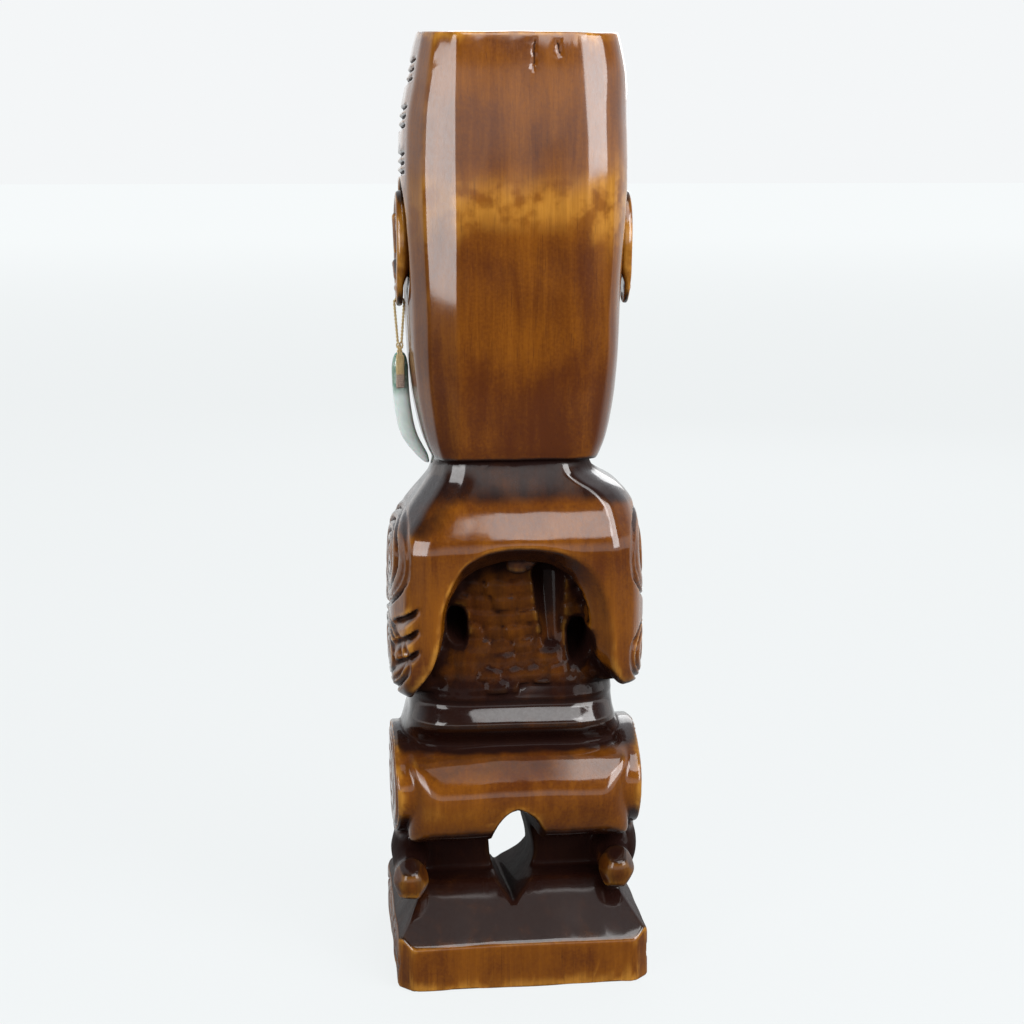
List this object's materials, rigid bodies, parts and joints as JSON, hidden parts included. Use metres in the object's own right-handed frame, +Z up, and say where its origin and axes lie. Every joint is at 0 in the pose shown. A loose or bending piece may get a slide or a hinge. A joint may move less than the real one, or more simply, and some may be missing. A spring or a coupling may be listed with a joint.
{
  "type": "carved tiki figure",
  "caption": "Standing carved timber figure on a block base, with inlaid shell eyes and a greenstone drop hung from one ear on a flax cord.",
  "frame": {"origin": "on the floor, under the middle of the base", "axes": "+Z up; the figure faces -Y; +X is the figure's own left, where the pendant hangs"},
  "size_m": [0.125, 0.112, 0.45],
  "materials": {
    "varnished_wood": "gloss varnish over dark stain",
    "shell": "polished iridescent shell",
    "dark_peg": "polished black wood",
    "greenstone": "polished jade-like stone",
    "flax_cord": "twisted natural fibre"
  },
  "bodies": {
    "figure": {"carved_figure": "varnished_wood", "eye_ring_left": "shell", "eye_ring_right": "shell", "eye_peg_left": "dark_peg", "eye_peg_right": "dark_peg"},
    "cord": {"pendant_cord": "flax_cord"},
    "drop": {"cord_lashing": "flax_cord", "greenstone_drop": "greenstone"}
  },
  "joints": [
    {"name": "cord_swing", "type": "hinge", "parent": "figure", "child": "cord", "pos_m": [0.0541, 0.002, 0.3276], "axis": [1, 0, 0], "range_deg": [-15, 15]},
    {"name": "drop_lift", "type": "hinge", "parent": "cord", "child": "drop", "pos_m": [0.0541, 0.002, 0.3046], "axis": [0, -1, 0], "range_deg": [0, 35]}
  ]
}
